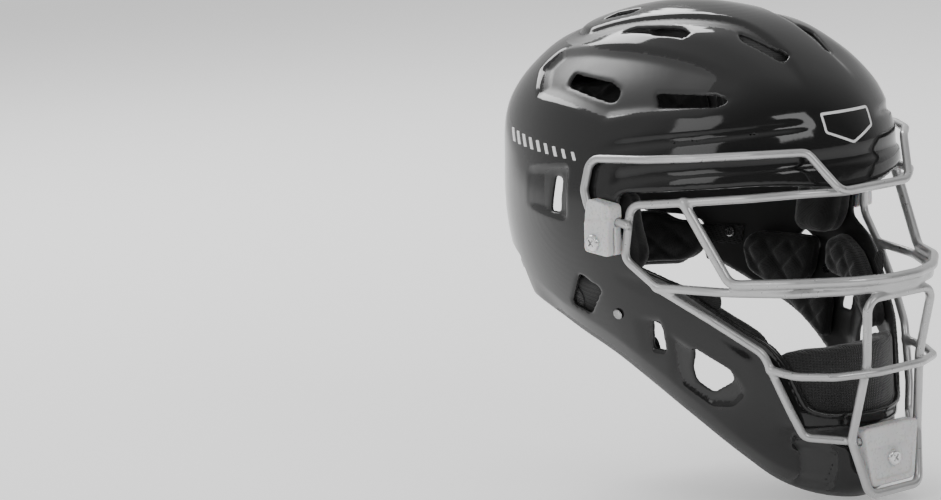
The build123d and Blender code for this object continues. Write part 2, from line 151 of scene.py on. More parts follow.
# Softboxes in metres and watts: name, place, aim, width, height, power
SOFTBOXES = (
    ("back_softbox", (0.5, 1.7, 1.6), (0, 0, 0.05), 1.6, 1.0, 46),
    ("front_softbox", (-0.2, -1.9, 1.1), (0, 0, 0.05), 1.0, 0.7, 9),
    ("side_fill", (-1.9, -0.6, 0.9), (0, 0, 0), 0.9, 1.4, 9),
)
WORLD_BRIGHT_WAY = (0.2, 0.9, 0.35)
WORLD_DARK = 0.16
WORLD_BRIGHT = 0.8
WORLD_RAMP = (0.3, 0.62)  # where the dark side ends and the bright side starts
BACKDROP = 6.0
FLOOR_GREY = 0.86
FLOOR_GLOW = 0.3
FLOOR_SIZE = 14
FLOOR_GAP = 0.0005


def make_camera():
    """Camera at the reference view's angle, framed so that the helmet stands right of the middle."""
    back = Vector((
        math.sin(CAMERA_SIDE) * math.cos(CAMERA_HEIGHT),
        -math.cos(CAMERA_SIDE) * math.cos(CAMERA_HEIGHT),
        math.sin(CAMERA_HEIGHT),
    ))
    level = Vector((math.cos(CAMERA_SIDE), math.sin(CAMERA_SIDE), 0))
    raised = back.cross(level)
    right = level * math.cos(CAMERA_ROLL) + raised * math.sin(CAMERA_ROLL)
    up = raised * math.cos(CAMERA_ROLL) - level * math.sin(CAMERA_ROLL)
    place = (back * CAMERA_DISTANCE - right * AIM_RIGHT - up * AIM_UP) * MM
    data = bpy.data.cameras.new("camera")
    data.sensor_width = SENSOR
    data.lens = LENS
    data.clip_end = CAMERA_REACH
    camera = bpy.data.objects.new("camera", data)
    camera.matrix_world = Matrix.Translation(place) @ Matrix((right, up, back)).transposed().to_4x4()
    bpy.context.scene.collection.objects.link(camera)
    bpy.context.scene.camera = camera


def make_light(name, place, aim, width, height, watts):
    """Softbox that faces the aim."""
    data = bpy.data.lights.new(name, "AREA")
    data.shape = "RECTANGLE"
    data.size = width
    data.size_y = height
    data.energy = watts
    light = bpy.data.objects.new(name, data)
    light.location = place
    light.rotation_euler = (Vector(aim) - Vector(place)).to_track_quat("-Z", "Y").to_euler()
    bpy.context.scene.collection.objects.link(light)


def make_world():
    """White surroundings, darker on the side that the helmet faces, and plain white to the camera."""
    world = bpy.data.worlds.new("studio")
    world.use_nodes = True
    nodes = world.node_tree.nodes
    link = world.node_tree.links.new
    shader = nodes["Background"]
    place = nodes.new("ShaderNodeTexCoord")
    along = nodes.new("ShaderNodeVectorMath")
    along.operation = "DOT_PRODUCT"
    along.inputs[1].default_value = WORLD_BRIGHT_WAY
    scale = nodes.new("ShaderNodeMapRange")
    scale.inputs["From Min"].default_value = -1
    ramp = nodes.new("ShaderNodeValToRGB")
    for stop, position, shade in zip(ramp.color_ramp.elements, WORLD_RAMP, (WORLD_DARK, WORLD_BRIGHT)):
        stop.position = position
        stop.color = (shade, shade, shade, 1)
    link(place.outputs["Generated"], along.inputs[0])
    link(along.outputs["Value"], scale.inputs["Value"])
    link(scale.outputs["Result"], ramp.inputs["Fac"])
    link(ramp.outputs["Color"], shader.inputs["Color"])
    bright = nodes.new("ShaderNodeBackground")
    bright.inputs["Color"].default_value = (1, 1, 1, 1)
    bright.inputs["Strength"].default_value = BACKDROP
    mix = nodes.new("ShaderNodeMixShader")
    path = nodes.new("ShaderNodeLightPath")
    link(path.outputs["Is Camera Ray"], mix.inputs["Fac"])
    link(shader.outputs["Background"], mix.inputs[1])
    link(bright.outputs["Background"], mix.inputs[2])
    link(mix.outputs["Shader"], nodes["World Output"].inputs["Surface"])
    bpy.context.scene.world = world


def make_floor():
    """Plain pale floor under the helmet's lowest point."""
    mesh = bpy.data.meshes.new("floor")
    half = FLOOR_SIZE / 2
    height = cad_box[0][2] - FLOOR_GAP
    corners = [(-half, -half, height), (half, -half, height), (half, half, height), (-half, half, height)]
    mesh.from_pydata(corners, [], [(0, 1, 2, 3)])
    floor = bpy.data.objects.new("floor", mesh)
    bpy.context.scene.collection.objects.link(floor)
    paint = Nodes("floor")
    paint.set(Base_Color=(*grey(FLOOR_GREY), 1), Roughness=0.7)
    paint.set(Emission_Color=(1, 1, 1, 1), Emission_Strength=FLOOR_GLOW)
    mesh.materials.append(paint.material)


make_camera()
make_world()
make_floor()
for softbox in SOFTBOXES:
    make_light(*softbox)


# ---------------------------------------------------------------- materials
def shell_material():
    """Gloss black moulded plastic outside, satin inside, with fine scuffs and worn edges."""
    n = Nodes("gloss_shell")
    inside = n.node("ShaderNodeAttribute", attribute_name="inner").outputs["Fac"]
    scuff = n.noise(420, 6, 0.7)
    smear = n.noise(9, 4)
    edge = n.node("ShaderNodeNewGeometry").outputs["Pointiness"]
    worn = n.maths("MULTIPLY", n.range(edge, 0, 1, 0.54, 0.62), n.range(n.noise(60, 5), 0, 1, 0.4, 0.7))
    outer = n.mix(worn, grey(0.011), grey(0.05))
    n.link(n.mix(inside, outer, grey(0.03)), n.shader.inputs["Base Color"])
    gloss = n.range(scuff, 0.035, 0.11, 0.35, 0.8)
    gloss = n.maths("ADD", gloss, n.range(smear, 0.0, 0.05))
    gloss = n.maths("ADD", gloss, n.maths("MULTIPLY", worn, 0.2))
    gloss = n.maths("ADD", gloss, n.maths("MULTIPLY", inside, 0.3))
    n.link(gloss, n.shader.inputs["Roughness"])
    # Painted shade: reflection is turned down where the shell turns away from the view, which keeps its
    # outline dark
    grazing = n.node("ShaderNodeLayerWeight").outputs["Facing"]
    n.link(n.range(grazing, 0.5, 0.1, 0.55, 0.95), n.shader.inputs["Specular IOR Level"])
    n.set(IOR=1.46)
    n.bump(n.noise(160, 2), 0.05, 0.0002)
    n.bump(n.noise(900, 4), 0.03, 0.0001)
    return n.material


def cage_material():
    """Silver grey enamel on wire, with a faint orange peel and duller patches."""
    n = Nodes("cage_enamel")
    patch = n.noise(45, 4)
    n.link(n.mix(n.range(patch, 0, 1), grey(0.46), grey(0.53)), n.shader.inputs["Base Color"])
    n.link(n.range(n.noise(300, 4), 0.26, 0.42), n.shader.inputs["Roughness"])
    n.set(Metallic=0.7, Coat_Weight=0.3, Coat_Roughness=0.12)
    n.bump(n.noise(1100, 3), 0.12, 0.0002)
    return n.material


def clip_material():
    """Frosted clear plastic, slightly cloudy."""
    n = Nodes("frosted_clip")
    cloud = n.noise(70, 4)
    n.link(n.mix(n.range(cloud, 0, 1), grey(0.66), grey(0.74)), n.shader.inputs["Base Color"])
    n.link(n.range(n.noise(500, 3), 0.22, 0.4), n.shader.inputs["Roughness"])
    n.set(Transmission_Weight=0.08, IOR=1.46, Subsurface_Weight=0.3, Subsurface_Scale=0.003)
    n.bump(n.noise(300, 2), 0.04, 0.0001)
    return n.material


def metal_material(name, dark, light):
    """Plated steel with fine turning marks."""
    n = Nodes(name)
    n.link(n.range(n.noise(1500, 5), 0.16, 0.36), n.shader.inputs["Roughness"])
    n.link(n.mix(n.range(n.noise(260, 3), 0, 1), grey(dark), grey(light)), n.shader.inputs["Base Color"])
    n.set(Metallic=1.0)
    n.bump(n.noise(2600, 3), 0.1, 0.0001)
    return n.material


THREAD_TILT = math.radians(35)
WAVE_BANDS = 20  # the wave texture's own factor from scale to angle


def cloth_material(name, dark, light, thread, relief):
    """Knitted or woven cloth: crossing threads of a thickness in millimetres, some fluff and a soft sheen."""
    n = Nodes(name)
    weave = None
    for turn in (0, math.pi / 2):
        mapping = n.node("ShaderNodeMapping")
        mapping.inputs["Rotation"].default_value = (THREAD_TILT, turn, turn / 2)
        n.link(n.place, mapping.inputs["Vector"])
        wave = n.node("ShaderNodeTexWave")
        wave.inputs["Scale"].default_value = math.tau / (WAVE_BANDS * thread * MM)
        wave.inputs["Distortion"].default_value = 1.2
        wave.inputs["Detail"].default_value = 2
        n.link(mapping.outputs["Vector"], wave.inputs["Vector"])
        weave = wave.outputs["Fac"] if weave is None else n.maths("MAXIMUM", weave, wave.outputs["Fac"])
    worn = n.range(n.noise(38, 5), 0, 1, 0.35, 0.75)
    shade = n.maths("MULTIPLY", n.range(weave, 0.25, 1, 0, 1), n.range(worn, 0.55, 1, 0, 1))
    n.link(n.mix(shade, grey(dark), grey(light)), n.shader.inputs["Base Color"])
    n.link(n.range(n.noise(90, 3), 0.75, 0.95), n.shader.inputs["Roughness"])
    n.set(Sheen_Weight=0.35, Sheen_Roughness=0.45, Specular_IOR_Level=0.25)
    n.bump(weave, relief, thread * MM * 0.35)
    n.bump(n.noise(1400, 3), 0.25, 0.0002)
    return n.material


def paint_material():
    """White print, a little chalky."""
    n = Nodes("white_print")
    n.link(n.mix(n.range(n.noise(120, 4), 0, 1), grey(0.78), grey(0.9)), n.shader.inputs["Base Color"])
    n.link(n.range(n.noise(600, 3), 0.22, 0.4), n.shader.inputs["Roughness"])
    n.bump(n.noise(900, 3), 0.1, 0.0001)
    return n.material


SHELL = shell_material()
CAGE = cage_material()
CLIP = clip_material()
METAL = metal_material("nickel", 0.62, 0.8)
RIVET_METAL = metal_material("dark_nickel", 0.26, 0.4)
LINING = cloth_material("quilted_lining", 0.006, 0.02, 0.9, 0.5)
MESH_CLOTH = cloth_material("spacer_mesh", 0.008, 0.035, 1.6, 0.9)
WEBBING = cloth_material("elastic_webbing", 0.008, 0.03, 1.2, 0.8)
PRINT = paint_material()


# ---------------------------------------------------------------- fields and meshes
def smooth_max(a, b, blend):
    """Larger of two fields, rounded over where they meet."""
    near = np.clip(blend - np.abs(a - b), 0, None)
    return np.maximum(a, b) + near * near / (4 * blend)


def smooth_min(a, b, blend):
    return -smooth_max(-a, -b, blend)


def smooth_step(value, low, high):
    t = np.clip((value - low) / (high - low), 0, 1)
    return t * t * (3 - 2 * t)


def rounded(outline, radius, steps=4):
    """Closed outline with its corners rounded off."""
    points = [Vector(p) for p in outline]
    result = []
    for before, corner, after in zip(points[-1:] + points[:-1], points, points[1:] + points[:1]):
        back = before - corner
        ahead = after - corner
        reach = min(radius, 0.45 * back.length, 0.45 * ahead.length)
        start = corner + back.normalized() * reach
        end = corner + ahead.normalized() * reach
        for step in range(steps + 1):
            t = step / steps
            result.append(tuple(start * (1 - t) ** 2 + corner * (2 * t * (1 - t)) + end * t * t))
    return result


def outline_distance(outline, u, v):
    """Signed distance from places (u, v) to a closed outline, negative inside it."""
    u = np.asarray(u, np.float32)
    v = np.asarray(v, np.float32)
    nearest = np.full(np.broadcast(u, v).shape, 1e9, np.float32)
    inside = np.zeros(nearest.shape, bool)
    for (ua, va), (ub, vb) in zip(outline, outline[1:] + outline[:1]):
        du = ub - ua
        dv = vb - va
        length = du * du + dv * dv
        if length < 1e-9:
            continue
        t = np.clip(((u - ua) * du + (v - va) * dv) / length, 0, 1)
        nearest = np.minimum(nearest, (u - ua - t * du) ** 2 + (v - va - t * dv) ** 2)
        if dv:
            inside ^= ((va > v) != (vb > v)) & (u < (v - va) * du / dv + ua)
    return np.where(inside, -1, 1) * np.sqrt(nearest)


def over_plane(outline, corner, axes, first, second):
    """Distance from a rounded outline over two of a grid's axes, shaped to spread over the third."""
    plane = outline_distance(rounded(outline, corner), axes[first][:, None], axes[second][None, :])
    return np.expand_dims(plane, 3 - first - second)


def make_grid(low, high, step, middle=False):
    """Axes of a regular grid and its places; with middle, its cells lie evenly about the middle plane."""
    counts = [math.ceil((b - a) / step) for a, b in zip(low, high)]
    axes = [a + step * np.arange(n) for a, n in zip(low, counts)]
    if middle:
        axes[0] = step * (np.arange(counts[0]) + 0.5)
    return axes, np.meshgrid(*axes, indexing="ij")


# Corners of a grid cell, and the pairs of them that its edges join
CORNERS = np.indices((2, 2, 2)).reshape(3, 8).T
EDGES = [(a, b) for a in range(8) for b in range(a + 1, 8) if np.abs(CORNERS[a] - CORNERS[b]).sum() == 1]


class Field:
    """Values on a regular grid of points, read between them."""

    def __init__(self, values, low, step):
        self.values = values.astype(np.float32)
        self.low = np.array(low, float)
        self.step = step

    def at(self, points):
        place = (points - self.low) / self.step
        cell = np.clip(np.floor(place).astype(int), 0, np.array(self.values.shape) - 2)
        t = np.clip(place - cell, 0, 1)
        total = 0
        for corner in CORNERS:
            weight = np.prod(np.where(corner, t, 1 - t), axis=1)
            total = total + weight * self.values[tuple((cell + corner).T)]
        return total

    def slope(self, points):
        """Gradient, by central differences one grid step wide each way."""
        parts = []
        for axis in range(3):
            shift = np.zeros(3)
            shift[axis] = self.step
            parts.append((self.at(points + shift) - self.at(points - shift)) / (2 * self.step))
        return np.stack(parts, 1)

    def net(self):
        """Vertices and quads of the surface where the field crosses zero."""
        values = self.values
        inside = values < 0
        size = np.array(values.shape)
        count = np.zeros(size - 1, np.uint8)
        for i, j, k in CORNERS:
            count += inside[i : size[0] - 1 + i, j : size[1] - 1 + j, k : size[2] - 1 + k]
        cells = np.argwhere((count > 0) & (count < 8))
        number = np.full(size - 1, -1, np.int32)
        number[tuple(cells.T)] = np.arange(len(cells))
        corner_values = [values[tuple((cells + corner).T)] for corner in CORNERS]
        total = np.zeros((len(cells), 3))
        hits = np.zeros(len(cells))
        for a, b in EDGES:
            va, vb = corner_values[a], corner_values[b]
            crosses = (va < 0) != (vb < 0)
            t = np.where(crosses, va / np.where(crosses, va - vb, 1), 0)[:, None]
            point = CORNERS[a] + t * (CORNERS[b] - CORNERS[a])
            total += np.where(crosses[:, None], point, 0)
            hits += crosses
        vertices = self.low + (cells + total / hits[:, None]) * self.step
        quads = []
        for axis in range(3):
            one = np.zeros(3, int)
            one[axis] = 1
            low_side = inside[: size[0] - one[0], : size[1] - one[1], : size[2] - one[2]]
            high_side = inside[one[0] :, one[1] :, one[2] :]
            edges = np.argwhere(low_side != high_side)
            second = np.eye(3, dtype=int)[(axis + 1) % 3]
            third = np.eye(3, dtype=int)[(axis + 2) % 3]
            keep = np.all(edges - second - third >= 0, axis=1) & np.all(edges < size - 1, axis=1)
            edges = edges[keep]
            ring = [edges - second - third, edges - third, edges, edges - second]
            faces = np.stack([number[tuple(cell.T)] for cell in ring], 1)
            outward = low_side[tuple(edges.T)]
            faces[~outward] = faces[~outward][:, ::-1]
            quads.append(faces[np.all(faces >= 0, axis=1)])
        return vertices, np.concatenate(quads)


def field_of(values, axes, step, middle=False):
    """Field of values on a grid's axes; with middle, they are the left half, and the right mirrors it."""
    if not middle:
        return Field(values, [axis[0] for axis in axes], step)
    return Field(np.concatenate([values[::-1], values]), (-axes[0][-1], axes[1][0], axes[2][0]), step)


def add_object(name, vertices, faces, material, normals=None):
    """Mesh object from places in millimetres."""
    mesh = bpy.data.meshes.new(name)
    corners = [list(map(int, face)) for face in faces]
    mesh.from_pydata((np.asarray(vertices) * MM).tolist(), [], corners, shade_flat=False)
    if normals is not None:
        mesh.normals_split_custom_set_from_vertices(np.asarray(normals).tolist())
    mesh.materials.append(material)
    made = bpy.data.objects.new(name, mesh)
    bpy.context.scene.collection.objects.link(made)
    return made


def unit(vectors):
    return vectors / np.maximum(np.linalg.norm(vectors, axis=1), 1e-6)[:, None]


def evened(normals, quads):
    """Each point's normal averaged with those around it."""
    around = normals[quads].sum(1)
    total = np.zeros_like(normals)
    for axis in range(3):
        for corner in range(4):
            total[:, axis] += np.bincount(quads[:, corner], around[:, axis], len(normals))
    return unit(total)


SETTLE_ROUNDS = 3
FLATTEST = 0.04  # least squared slope that a point is settled along


def add_surface(name, field, material):
    """Mesh object of a field's zero surface, its points settled onto it and its normals taken from it."""
    vertices, quads = field.net()
    for _ in range(SETTLE_ROUNDS):
        slope = field.slope(vertices)
        size = np.maximum((slope**2).sum(1), FLATTEST)
        move = np.clip(field.at(vertices) / size, -field.step, field.step)
        vertices = vertices - move[:, None] * slope
    normals = evened(unit(field.slope(vertices)), quads)
    return add_object(name, vertices, quads, material, normals), vertices


def declare(piece, slot, body, *nodes):
    """Hides the model's solids that a piece stands for and hangs the piece on the body that it rides on. The
    slot is not used.
    """
    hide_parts(*nodes)
    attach(piece, body)


def mirror_object(source, name):
    """Mirror image of a mesh object across the middle plane."""
    mesh = source.data
    vertices = np.zeros(len(mesh.vertices) * 3)
    mesh.vertices.foreach_get("co", vertices)
    vertices = vertices.reshape(-1, 3) * (-1 / MM, 1 / MM, 1 / MM)
    normals = np.zeros((len(mesh.vertices), 3))
    corner_normals = np.zeros(len(mesh.loops) * 3)
    mesh.corner_normals.foreach_get("vector", corner_normals)
    corner_vertices = np.zeros(len(mesh.loops), int)
    mesh.loops.foreach_get("vertex_index", corner_vertices)
    normals[corner_vertices] = corner_normals.reshape(-1, 3) * (-1, 1, 1)
    faces = [list(polygon.vertices)[::-1] for polygon in mesh.polygons]
    return add_object(name, vertices, faces, mesh.materials[0], normals)


# ---------------------------------------------------------------- outer form
WALL = 3.5
# Height, half width, front, rear and squareness in front and behind, as in the model
LEVELS = np.array([
    (-163, 24, -139, -70, 1.9, 2.2),
    (-150, 42, -153, -20, 1.9, 2.2),
    (-125, 62, -157, 30, 1.9, 2.2),
    (-100, 76, -157, 68, 1.9, 2.2),
    (-60, 90, -155, 106, 1.85, 2.2),
    (-20, 102, -152, 125, 1.9, 2.12),
    (20, 110.5, -148, 132, 2.1, 1.96),
    (50, 109, -146, 133, 2.1, 1.92),
    (80, 101, -139, 126, 2.1, 2.07),
    (105, 85, -122, 106, 2.1, 2.15),
    (125, 61, -95, 78, 2.1, 2.2),
    (138, 33, -62, 42, 2.1, 2.2),
    (143, 13, -34, 14, 2.1, 2.2),
])
STEP = 1.4
FORM_LOW = (STEP / 2, -168, -178)
FORM_HIGH = (120.5, 144, 152)


def spline(places, values, wanted):
    """Natural cubic spline through the values, straight beyond its ends."""
    count = len(places)
    gap = np.diff(places)
    rise = np.diff(values) / gap
    system = np.eye(count)
    target = np.zeros(count)
    for i in range(1, count - 1):
        system[i, i - 1 : i + 2] = gap[i - 1], 2 * (gap[i - 1] + gap[i]), gap[i]
        target[i] = 6 * (rise[i] - rise[i - 1])
    bend = np.linalg.solve(system, target)
    inside = np.clip(wanted, places[0], places[-1])
    i = np.clip(np.searchsorted(places, inside) - 1, 0, count - 2)
    a = (places[i + 1] - inside) / gap[i]
    b = 1 - a
    result = a * values[i] + b * values[i + 1]
    result += ((a**3 - a) * bend[i] + (b**3 - b) * bend[i + 1]) * gap[i] ** 2 / 6
    first = rise[0] - gap[0] * bend[1] / 6
    last = rise[-1] + gap[-1] * bend[-2] / 6
    return result + np.minimum(wanted - places[0], 0) * first + np.maximum(wanted - places[-1], 0) * last


def form_field():
    """Distance from the outer form over the wearer's left half, on the grid that the shell is made on."""
    x, y, z = (np.arange(low, high, STEP) for low, high in zip(FORM_LOW, FORM_HIGH))
    heights = LEVELS[:, 0]
    half_depth = (LEVELS[:, 2] - LEVELS[:, 3]) / 2
    depth_squared = spline(heights, half_depth**2, z)
    middle = spline(heights, (LEVELS[:, 2] + LEVELS[:, 3]) / 2, z)
    held = np.clip(z, heights[0], heights[-1])
    stretch = spline(heights, np.abs(half_depth) / LEVELS[:, 1], held)
    front_power = spline(heights, LEVELS[:, 4], held)
    rear_power = spline(heights, LEVELS[:, 5], held)
    along = y[:, None] - middle[None, :]
    power = np.where(along > 0, rear_power[None, :], front_power[None, :])[None]
    across = x[:, None, None] * stretch[None, None, :]
    squared = (across**power + np.abs(along)[None] ** power) ** (2 / power) - depth_squared[None, None, :]
    slopes = np.gradient(squared, STEP)
    half_slope = np.sqrt(sum(s * s for s in slopes)) / 2
    distance = half_slope - np.sqrt(np.maximum(half_slope**2 - squared, 0))
    return (x, y, z), distance.astype(np.float32)


form_axes, form = form_field()
form_reader = field_of(form, form_axes, STEP)


def form_at(x, y, z):
    """Distance from the plain outer form at places on either side."""
    shape = np.broadcast(x, y, z).shape
    points = np.stack([np.broadcast_to(a, shape).ravel() for a in (np.abs(x), y, z)], 1)
    return form_reader.at(points).reshape(shape)


# ---------------------------------------------------------------- shell
# Outlines seen from the side are depth and height; those seen from above are across and depth.
# The openings are the model's.
NECK = [(170, -36), (64, -39), (36, -50), (-12, -69), (-41, -88), (-71, -112), (-101, -146), (-119, -155)]
NECK += [(-150, -163.5), (-150, -210), (170, -210)]
FACE_PORT = [(-45, 34), (-44, 8), (-45, -4), (-52, -8), (-71, -16), (-90, -32), (-109, -48), (-121, -57)]
FACE_PORT += [(-128, -70), (-136, -98), (-144, -102), (-200, -105), (-200, 26), (-149, 31), (-138, 39)]
FACE_PORT += [(-124, 41), (-97, 40), (-50, 37)]
REAR_NOTCH = [(64, -60), (66, -42), (70, -26), (73, -15), (86, -11), (102, -9), (112, 0), (119, 20)]
REAR_NOTCH += [(126, 27), (200, 28), (200, -80), (64, -80)]
EAR_SLOT = [(17, 22), (12, 44), (4.5, 43), (7.5, 22)]
EAR_OPENING = [(-2, -17), (-19, -26), (-3, -43), (14, -38)]
JAW_SLOT = [(-52, -44), (-59, -48), (-58, -63), (-48, -62)]
JAW_VENT = [(-77, -60), (-98, -74), (-97, -81), (-83, -89), (-73, -82), (-72, -74)]
UPPER_VENT = [(19, 97), (21, 104), (-18, 101), (-29, 97), (-30, 91), (-24, 90)]
BROW_VENT = [(-55, 96), (-94, 95), (-101, 92), (-97, 89), (-61, 88)]
CROWN_VENT = [(52, 2), (45, -4), (40, -41), (44, -51), (50, -51), (53, -30)]
FRONT_VENT = [(25, -73), (30, -82), (22, -106), (15, -108)]
REAR_VENT = [(36, 34), (31, 16), (22, 14), (25, 32)]
# Outline, radius of its corners, and rounding of its rim
SIDE_OPENINGS = [(NECK, 14, 2.2), (FACE_PORT, 9, 2.4), (REAR_NOTCH, 3, 1.8), (EAR_SLOT, 2, 1.3)]
SIDE_OPENINGS += [(EAR_OPENING, 3, 1.3), (JAW_SLOT, 1.5, 1.2), (JAW_VENT, 2.5, 1.3)]
SIDE_OPENINGS += [(UPPER_VENT, 2.5, 1.3), (BROW_VENT, 2, 1.3)]
TOP_OPENINGS = [(CROWN_VENT, 2.5, 1.3), (FRONT_VENT, 2.5, 1.3), (REAR_VENT, 2, 1.3)]

# Creases that run round the brow, from the side
UPPER_CREASE = np.array([(-170, 73), (-134, 74), (-121, 73), (-94, 70), (-65, 67), (-35, 63), (-10, 58)])
LOWER_CREASE = np.array([(-170, 50), (-137, 51), (-101, 50), (-67, 47), (-44, 43), (-20, 40)])
# Recesses seen from the side
JAW_VENT_RECESS = [(-62, -50), (-102, -76), (-107, -88), (-98, -97), (-82, -98), (-56, -80)]
EAR_SLOT_RECESS = [(44, 22), (41, 47), (-4, 52), (-1, 18)]
# Recess round the upper vents: depth, and the way round the crown on a circle about its middle height
LEAF = [(42, 48), (57, 69), (50, 88), (-8, 87), (-65, 87.5), (-99, 87), (-127, 78), (-91, 49), (-27, 35)]
LEAF_MIDDLE_HEIGHT = 40
LEAF_RADIUS = 95
# Raised middle of the crown, from above
SPINE = [(0, 60), (40, 52), (49, 34), (37, 0), (26, -37), (16, -67), (15, -100), (22, -135), (0, -170)]
# Recess beside the chin clip, from the front: across and height
CHIN_RECESS = [(47, -114), (41, -133), (36, -149), (22, -153), (23, -127), (34, -118)]
# How deep each shape of the relief is drawn in
UPPER_CREASE_DEPTH = 1.9
LOWER_CREASE_DEPTH = 1.6
LEAF_DEPTH = 4.2
SPINE_STEP = 2.4
EAR_RAMP_DEPTH = 3.0
EAR_RAMP_LENGTH = 34
VENT_RECESS_DEPTH = 2.8
JAW_RAMP_DEPTH = 2.0
CHANNEL_DEPTH = 1.8
RIM_TURN = 3.0
RIM_TURN_WIDTH = 15
CHIN_RECESS_DEPTH = 3.2
LIP_GROOVE_DEPTH = 2.6


def bevel(distance, width, soft=0.3):
    """0 outside an outline to 1 inside it, straight across the bevel's width."""
    t = -distance / width
    return smooth_min(smooth_max(t, 0, soft), 1, soft)


def relief(x, y, z):
    """How far the skin is drawn in from the plain form at places near it."""
    height = np.zeros_like(x)
    # creases round the brow: a slope in, then a sharp edge out
    flat = smooth_step(np.abs(x), 24, 44)
    for crease, deep, slope_width, start, full, part in (
        (UPPER_CREASE, UPPER_CREASE_DEPTH, 8, 22, 48, flat),
        (LOWER_CREASE, LOWER_CREASE_DEPTH, 13, 38, 46, 1),
    ):
        above = z - np.interp(y, crease[:, 0], crease[:, 1])
        ledge = np.minimum(smooth_step(-above, -slope_width, 0), smooth_step(above, -1.7, 0.6))
        height += deep * ledge * smooth_step(-y, start, full) * part
    # recess with a bevelled edge round the upper vents
    way_round = LEAF_RADIUS * np.arctan2(z - LEAF_MIDDLE_HEIGHT, x)
    leaf = outline_distance(rounded(LEAF, 3), y, way_round)
    height += LEAF_DEPTH * bevel(leaf, 8, 0.22) * smooth_step(y, -112, -62)
    # step down beside the raised middle of the crown
    spine = outline_distance(rounded(SPINE, 8), x, y)
    step = smooth_step(spine, -0.5, 4) * smooth_step(-spine, -30, -4) * smooth_step(z, 95, 118)
    height += SPINE_STEP * step
    # ramp into the ear slot
    slot = outline_distance(rounded(EAR_SLOT_RECESS, 4), y, z)
    height += EAR_RAMP_DEPTH * bevel(slot, 2.6) * np.clip((EAR_SLOT_RECESS[0][0] - y) / EAR_RAMP_LENGTH, 0, 1)
    # recess round the jaw vent
    vent = outline_distance(rounded(JAW_VENT_RECESS, 4), y, z)
    height += VENT_RECESS_DEPTH * bevel(vent, 4.5, 0.5) * smooth_step(-y, 56, 68)
    # ramp into the jaw slot
    ramp = smooth_step(-y, 38, 52) * smooth_step(y, -59.5, -57.5)
    height += JAW_RAMP_DEPTH * ramp * smooth_step(z, -68, -60) * smooth_step(-z, 40, 46)
    # channel that the cage's lower half lies in, beside the face port
    port = outline_distance(rounded(FACE_PORT, 9), y, z)
    channel = smooth_step(port, 1.5, 4) * smooth_step(-port, -19, -9)
    height += CHANNEL_DEPTH * channel * smooth_step(-z, 12, 22)
    # the lower edge turns in
    rim = outline_distance(rounded(NECK, 14), y, z)
    height += RIM_TURN * np.clip(1 - rim / RIM_TURN_WIDTH, 0, 1) * smooth_step(y, 62, 30)
    # recess beside the chin clip, and the groove under the lip
    chin = outline_distance(rounded(CHIN_RECESS, 3), x, z)
    height += CHIN_RECESS_DEPTH * bevel(chin, 3) * smooth_step(-y, 100, 118)
    groove = smooth_step(-z, 111.5, 113.5) * smooth_step(z, -126, -119)
    height += LIP_GROOVE_DEPTH * groove * smooth_step(-y, 118, 130)
    return height


BAND = 11  # how far from the wall the field is worked out
INNER_RELIEF = 0.85  # how much of the relief shows inside
CREST = 60  # openings cut from above stop at this height


def wall_field(keep=None, cuts=(), top_cuts=(), inset=0):
    """Field of a wall of the form, kept inside one side outline or with openings and relief."""
    where = np.nonzero(np.abs(form + inset + WALL / 2) < BAND)
    x, y, z = (axis[index] for axis, index in zip(form_axes, where))
    outer = form[where].astype(float) + inset
    drawn_in = 0 if keep else relief(x, y, z)
    wall = smooth_max(outer + drawn_in, -(outer + drawn_in * INNER_RELIEF + WALL), 0.8)
    for outline, corner, edge in cuts:
        plane = over_plane(outline, corner, form_axes, 1, 2)[0]
        wall = smooth_max(wall, -plane[where[1:]], edge)
    for outline, corner, edge in top_cuts:
        plane = over_plane(outline, corner, form_axes, 0, 1)[:, :, 0]
        opening = smooth_max(plane[where[:2]], CREST - z, 1)
        wall = smooth_max(wall, -opening, edge)
    if keep:
        outline, corner, edge = keep
        plane = over_plane(outline, corner, form_axes, 1, 2)[0]
        wall = smooth_max(wall, plane[where[1:]], edge)
    values = np.full(form.shape, float(BAND), np.float32)
    values[where] = wall
    return field_of(values, form_axes, STEP, middle=True)


def mark_inner(piece, vertices, inset=0):
    """Marks the points on the inner face, which is satin."""
    inner = (form_at(*vertices.T) < -inset - WALL * 0.55).astype(np.float32)
    attribute = piece.data.attributes.new("inner", "FLOAT", "POINT")
    attribute.data.foreach_set("value", inner)


def build_shell():
    field = wall_field(cuts=SIDE_OPENINGS, top_cuts=TOP_OPENINGS)
    piece, vertices = add_surface("shell_moulding", field, SHELL)
    mark_inner(piece, vertices)
    declare(piece, "shell", "helmet", "shell")


BACK_PLATE = [(71, -18), (84, -12.8), (100, -10.6), (109, -7), (200, -7), (200, -42), (76, -42), (71, -36)]
PLATE_INSET = 5.35


def build_back_plate():
    field = wall_field(keep=(BACK_PLATE, 3, 1.8), inset=PLATE_INSET)
    piece, vertices = add_surface("back_plate_moulding", field, SHELL)
    mark_inner(piece, vertices, PLATE_INSET)
    declare(piece, "back_plate", "rear_plate", "back_plate")


# ---------------------------------------------------------------- cage
BAR = 2.65
HEAVY_BAR = 3.2
CHIN_BAR = 2.85
WELD = 1.8  # how far the metal flows where wires meet
